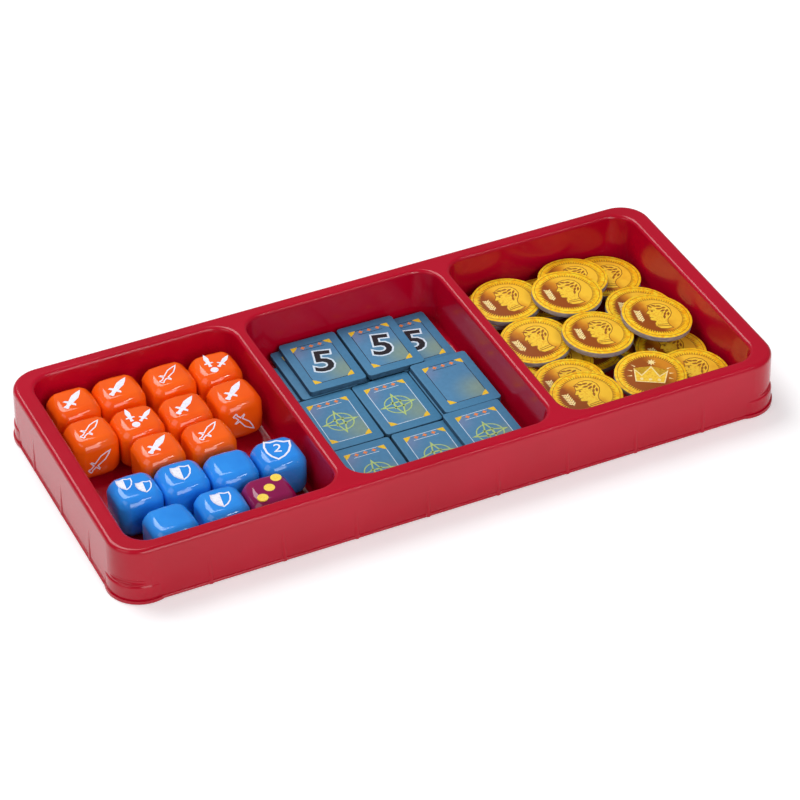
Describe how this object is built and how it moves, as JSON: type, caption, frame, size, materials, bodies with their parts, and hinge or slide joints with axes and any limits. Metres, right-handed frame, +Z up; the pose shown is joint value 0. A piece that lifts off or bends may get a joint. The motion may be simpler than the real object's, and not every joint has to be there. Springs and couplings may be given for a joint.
{
  "type": "board game component tray",
  "caption": "Long formed plastic tray with three rounded pockets, holding rounded cube dice, small card tiles and round card coins that lie loose.",
  "frame": {"origin": "middle of the tray's footprint, on the table", "axes": "+X along the tray from the dice to the coins, +Y across it to the back, +Z up"},
  "size_m": [0.2452, 0.1092, 0.021],
  "materials": {
    "red_sheet": "glossy thermoformed sheet",
    "orange_dice": "polished moulded plastic",
    "blue_dice": "polished moulded plastic",
    "purple_dice": "polished moulded plastic",
    "tile_card": "printed greyboard with a satin coating",
    "coin_card": "printed greyboard with a satin coating"
  },
  "bodies": {
    "tray": {"tray": "red_sheet", "dice_pocket": "red_sheet", "tile_pocket": "red_sheet", "tile_floor": "red_sheet", "coin_pocket": "red_sheet", "coin_floor": "red_sheet"},
    "die_orange_1": {"die_orange_1": "orange_dice"},
    "die_orange_2": {"die_orange_2": "orange_dice"},
    "die_orange_3": {"die_orange_3": "orange_dice"},
    "die_orange_4": {"die_orange_4": "orange_dice"},
    "die_orange_5": {"die_orange_5": "orange_dice"},
    "die_orange_6": {"die_orange_6": "orange_dice"},
    "die_orange_7": {"die_orange_7": "orange_dice"},
    "die_orange_8": {"die_orange_8": "orange_dice"},
    "die_orange_9": {"die_orange_9": "orange_dice"},
    "die_orange_10": {"die_orange_10": "orange_dice"},
    "die_blue_1": {"die_blue_1": "blue_dice"},
    "die_blue_2": {"die_blue_2": "blue_dice"},
    "die_blue_3": {"die_blue_3": "blue_dice"},
    "die_blue_4": {"die_blue_4": "blue_dice"},
    "die_blue_5": {"die_blue_5": "blue_dice"},
    "die_blue_6": {"die_blue_6": "blue_dice"},
    "die_purple_1": {"die_purple_1": "purple_dice"},
    "tile_1": {"tile_1": "tile_card"},
    "tile_2": {"tile_2": "tile_card"},
    "tile_3": {"tile_3": "tile_card"},
    "tile_4": {"tile_4": "tile_card"},
    "tile_5": {"tile_5": "tile_card"},
    "tile_6": {"tile_6": "tile_card"},
    "tile_7": {"tile_7": "tile_card"},
    "tile_8": {"tile_8": "tile_card"},
    "tile_9": {"tile_9": "tile_card"},
    "tile_10": {"tile_10": "tile_card"},
    "tile_11": {"tile_11": "tile_card"},
    "tile_12": {"tile_12": "tile_card"},
    "tile_13": {"tile_13": "tile_card"},
    "tile_14": {"tile_14": "tile_card"},
    "tile_15": {"tile_15": "tile_card"},
    "tile_16": {"tile_16": "tile_card"},
    "tile_17": {"tile_17": "tile_card"},
    "coin_1": {"coin_1": "coin_card"},
    "coin_2": {"coin_2": "coin_card"},
    "coin_3": {"coin_3": "coin_card"},
    "coin_4": {"coin_4": "coin_card"},
    "coin_5": {"coin_5": "coin_card"},
    "coin_6": {"coin_6": "coin_card"},
    "coin_7": {"coin_7": "coin_card"},
    "coin_8": {"coin_8": "coin_card"},
    "coin_9": {"coin_9": "coin_card"},
    "coin_10": {"coin_10": "coin_card"},
    "coin_11": {"coin_11": "coin_card"},
    "coin_12": {"coin_12": "coin_card"},
    "coin_13": {"coin_13": "coin_card"},
    "coin_14": {"coin_14": "coin_card"},
    "coin_15": {"coin_15": "coin_card"},
    "coin_16": {"coin_16": "coin_card"},
    "coin_17": {"coin_17": "coin_card"},
    "coin_18": {"coin_18": "coin_card"},
    "coin_19": {"coin_19": "coin_card"},
    "coin_20": {"coin_20": "coin_card"}
  },
  "joints": [
    {"name": "die_orange_1_lift", "type": "slide", "parent": "tray", "child": "die_orange_1", "axis": [0, 0, 1], "range_m": [0, 0.025]},
    {"name": "die_orange_2_lift", "type": "slide", "parent": "tray", "child": "die_orange_2", "axis": [0, 0, 1], "range_m": [0, 0.025]},
    {"name": "die_orange_3_lift", "type": "slide", "parent": "tray", "child": "die_orange_3", "axis": [0, 0, 1], "range_m": [0, 0.025]},
    {"name": "die_orange_4_lift", "type": "slide", "parent": "tray", "child": "die_orange_4", "axis": [0, 0, 1], "range_m": [0, 0.025]},
    {"name": "die_orange_5_lift", "type": "slide", "parent": "tray", "child": "die_orange_5", "axis": [0, 0, 1], "range_m": [0, 0.025]},
    {"name": "die_orange_6_lift", "type": "slide", "parent": "tray", "child": "die_orange_6", "axis": [0, 0, 1], "range_m": [0, 0.025]},
    {"name": "die_orange_7_lift", "type": "slide", "parent": "tray", "child": "die_orange_7", "axis": [0, 0, 1], "range_m": [0, 0.025]},
    {"name": "die_orange_8_lift", "type": "slide", "parent": "tray", "child": "die_orange_8", "axis": [0, 0, 1], "range_m": [0, 0.025]},
    {"name": "die_orange_9_lift", "type": "slide", "parent": "tray", "child": "die_orange_9", "axis": [0, 0, 1], "range_m": [0, 0.025]},
    {"name": "die_orange_10_lift", "type": "slide", "parent": "tray", "child": "die_orange_10", "axis": [0, 0, 1], "range_m": [0, 0.025]},
    {"name": "die_blue_1_lift", "type": "slide", "parent": "tray", "child": "die_blue_1", "axis": [0, 0, 1], "range_m": [0, 0.025]},
    {"name": "die_blue_2_lift", "type": "slide", "parent": "tray", "child": "die_blue_2", "axis": [0, 0, 1], "range_m": [0, 0.025]},
    {"name": "die_blue_3_lift", "type": "slide", "parent": "tray", "child": "die_blue_3", "axis": [0, 0, 1], "range_m": [0, 0.025]},
    {"name": "die_blue_4_lift", "type": "slide", "parent": "tray", "child": "die_blue_4", "axis": [0, 0, 1], "range_m": [0, 0.025]},
    {"name": "die_blue_5_lift", "type": "slide", "parent": "tray", "child": "die_blue_5", "axis": [0, 0, 1], "range_m": [0, 0.025]},
    {"name": "die_blue_6_lift", "type": "slide", "parent": "tray", "child": "die_blue_6", "axis": [0, 0, 1], "range_m": [0, 0.025]},
    {"name": "die_purple_1_lift", "type": "slide", "parent": "tray", "child": "die_purple_1", "axis": [0, 0, 1], "range_m": [0, 0.025]},
    {"name": "tile_1_lift", "type": "slide", "parent": "tray", "child": "tile_1", "axis": [0, 0, 1], "range_m": [0, 0.025]},
    {"name": "tile_2_lift", "type": "slide", "parent": "tile_1", "child": "tile_2", "axis": [0, 0, 1], "range_m": [0, 0.025]},
    {"name": "tile_3_lift", "type": "slide", "parent": "tray", "child": "tile_3", "axis": [0, 0, 1], "range_m": [0, 0.025]},
    {"name": "tile_4_lift", "type": "slide", "parent": "tile_3", "child": "tile_4", "axis": [0, 0, 1], "range_m": [0, 0.025]},
    {"name": "tile_5_lift", "type": "slide", "parent": "tray", "child": "tile_5", "axis": [0, 0, 1], "range_m": [0, 0.025]},
    {"name": "tile_6_lift", "type": "slide", "parent": "tile_5", "child": "tile_6", "axis": [0, 0, 1], "range_m": [0, 0.025]},
    {"name": "tile_7_lift", "type": "slide", "parent": "tile_2", "child": "tile_7", "axis": [0, 0, 1], "range_m": [0, 0.025]},
    {"name": "tile_8_lift", "type": "slide", "parent": "tile_3", "child": "tile_8", "axis": [0, 0, 1], "range_m": [0, 0.025]},
    {"name": "tile_9_lift", "type": "slide", "parent": "tile_8", "child": "tile_9", "axis": [0, 0, 1], "range_m": [0, 0.025]},
    {"name": "tile_10_lift", "type": "slide", "parent": "tile_4", "child": "tile_10", "axis": [0, 0, 1], "range_m": [0, 0.025]},
    {"name": "tile_11_lift", "type": "slide", "parent": "tile_10", "child": "tile_11", "axis": [0, 0, 1], "range_m": [0, 0.025]},
    {"name": "tile_12_lift", "type": "slide", "parent": "tile_1", "child": "tile_12", "axis": [0, 0, 1], "range_m": [0, 0.025]},
    {"name": "tile_13_lift", "type": "slide", "parent": "tile_2", "child": "tile_13", "axis": [0, 0, 1], "range_m": [0, 0.025]},
    {"name": "tile_14_lift", "type": "slide", "parent": "tile_13", "child": "tile_14", "axis": [0, 0, 1], "range_m": [0, 0.025]},
    {"name": "tile_15_lift", "type": "slide", "parent": "tile_5", "child": "tile_15", "axis": [0, 0, 1], "range_m": [0, 0.025]},
    {"name": "tile_16_lift", "type": "slide", "parent": "tile_6", "child": "tile_16", "axis": [0, 0, 1], "range_m": [0, 0.025]},
    {"name": "tile_17_lift", "type": "slide", "parent": "tile_16", "child": "tile_17", "axis": [0, 0, 1], "range_m": [0, 0.025]},
    {"name": "coin_1_lift", "type": "slide", "parent": "tray", "child": "coin_1", "axis": [0, 0, 1], "range_m": [0, 0.025]},
    {"name": "coin_2_lift", "type": "slide", "parent": "coin_1", "child": "coin_2", "axis": [0, 0, 1], "range_m": [0, 0.025]},
    {"name": "coin_3_lift", "type": "slide", "parent": "coin_1", "child": "coin_3", "axis": [0, 0, 1], "range_m": [0, 0.025]},
    {"name": "coin_4_lift", "type": "slide", "parent": "coin_2", "child": "coin_4", "axis": [0, 0, 1], "range_m": [0, 0.025]},
    {"name": "coin_5_lift", "type": "slide", "parent": "coin_4", "child": "coin_5", "axis": [0, 0, 1], "range_m": [0, 0.025]},
    {"name": "coin_6_lift", "type": "slide", "parent": "coin_4", "child": "coin_6", "axis": [0, 0, 1], "range_m": [0, 0.025]},
    {"name": "coin_7_lift", "type": "slide", "parent": "coin_6", "child": "coin_7", "axis": [0, 0, 1], "range_m": [0, 0.025]},
    {"name": "coin_8_lift", "type": "slide", "parent": "coin_3", "child": "coin_8", "axis": [0, 0, 1], "range_m": [0, 0.025]},
    {"name": "coin_9_lift", "type": "slide", "parent": "coin_8", "child": "coin_9", "axis": [0, 0, 1], "range_m": [0, 0.025]},
    {"name": "coin_10_lift", "type": "slide", "parent": "coin_9", "child": "coin_10", "axis": [0, 0, 1], "range_m": [0, 0.025]},
    {"name": "coin_11_lift", "type": "slide", "parent": "coin_10", "child": "coin_11", "axis": [0, 0, 1], "range_m": [0, 0.025]},
    {"name": "coin_12_lift", "type": "slide", "parent": "coin_11", "child": "coin_12", "axis": [0, 0, 1], "range_m": [0, 0.025]},
    {"name": "coin_13_lift", "type": "slide", "parent": "coin_7", "child": "coin_13", "axis": [0, 0, 1], "range_m": [0, 0.025]},
    {"name": "coin_14_lift", "type": "slide", "parent": "coin_7", "child": "coin_14", "axis": [0, 0, 1], "range_m": [0, 0.025]},
    {"name": "coin_15_lift", "type": "slide", "parent": "coin_5", "child": "coin_15", "axis": [0, 0, 1], "range_m": [0, 0.025]},
    {"name": "coin_16_lift", "type": "slide", "parent": "coin_13", "child": "coin_16", "axis": [0, 0, 1], "range_m": [0, 0.025]},
    {"name": "coin_17_lift", "type": "slide", "parent": "coin_16", "child": "coin_17", "axis": [0, 0, 1], "range_m": [0, 0.025]},
    {"name": "coin_18_lift", "type": "slide", "parent": "coin_12", "child": "coin_18", "axis": [0, 0, 1], "range_m": [0, 0.025]},
    {"name": "coin_19_lift", "type": "slide", "parent": "coin_14", "child": "coin_19", "axis": [0, 0, 1], "range_m": [0, 0.025]},
    {"name": "coin_20_lift", "type": "slide", "parent": "coin_17", "child": "coin_20", "axis": [0, 0, 1], "range_m": [0, 0.025]}
  ]
}
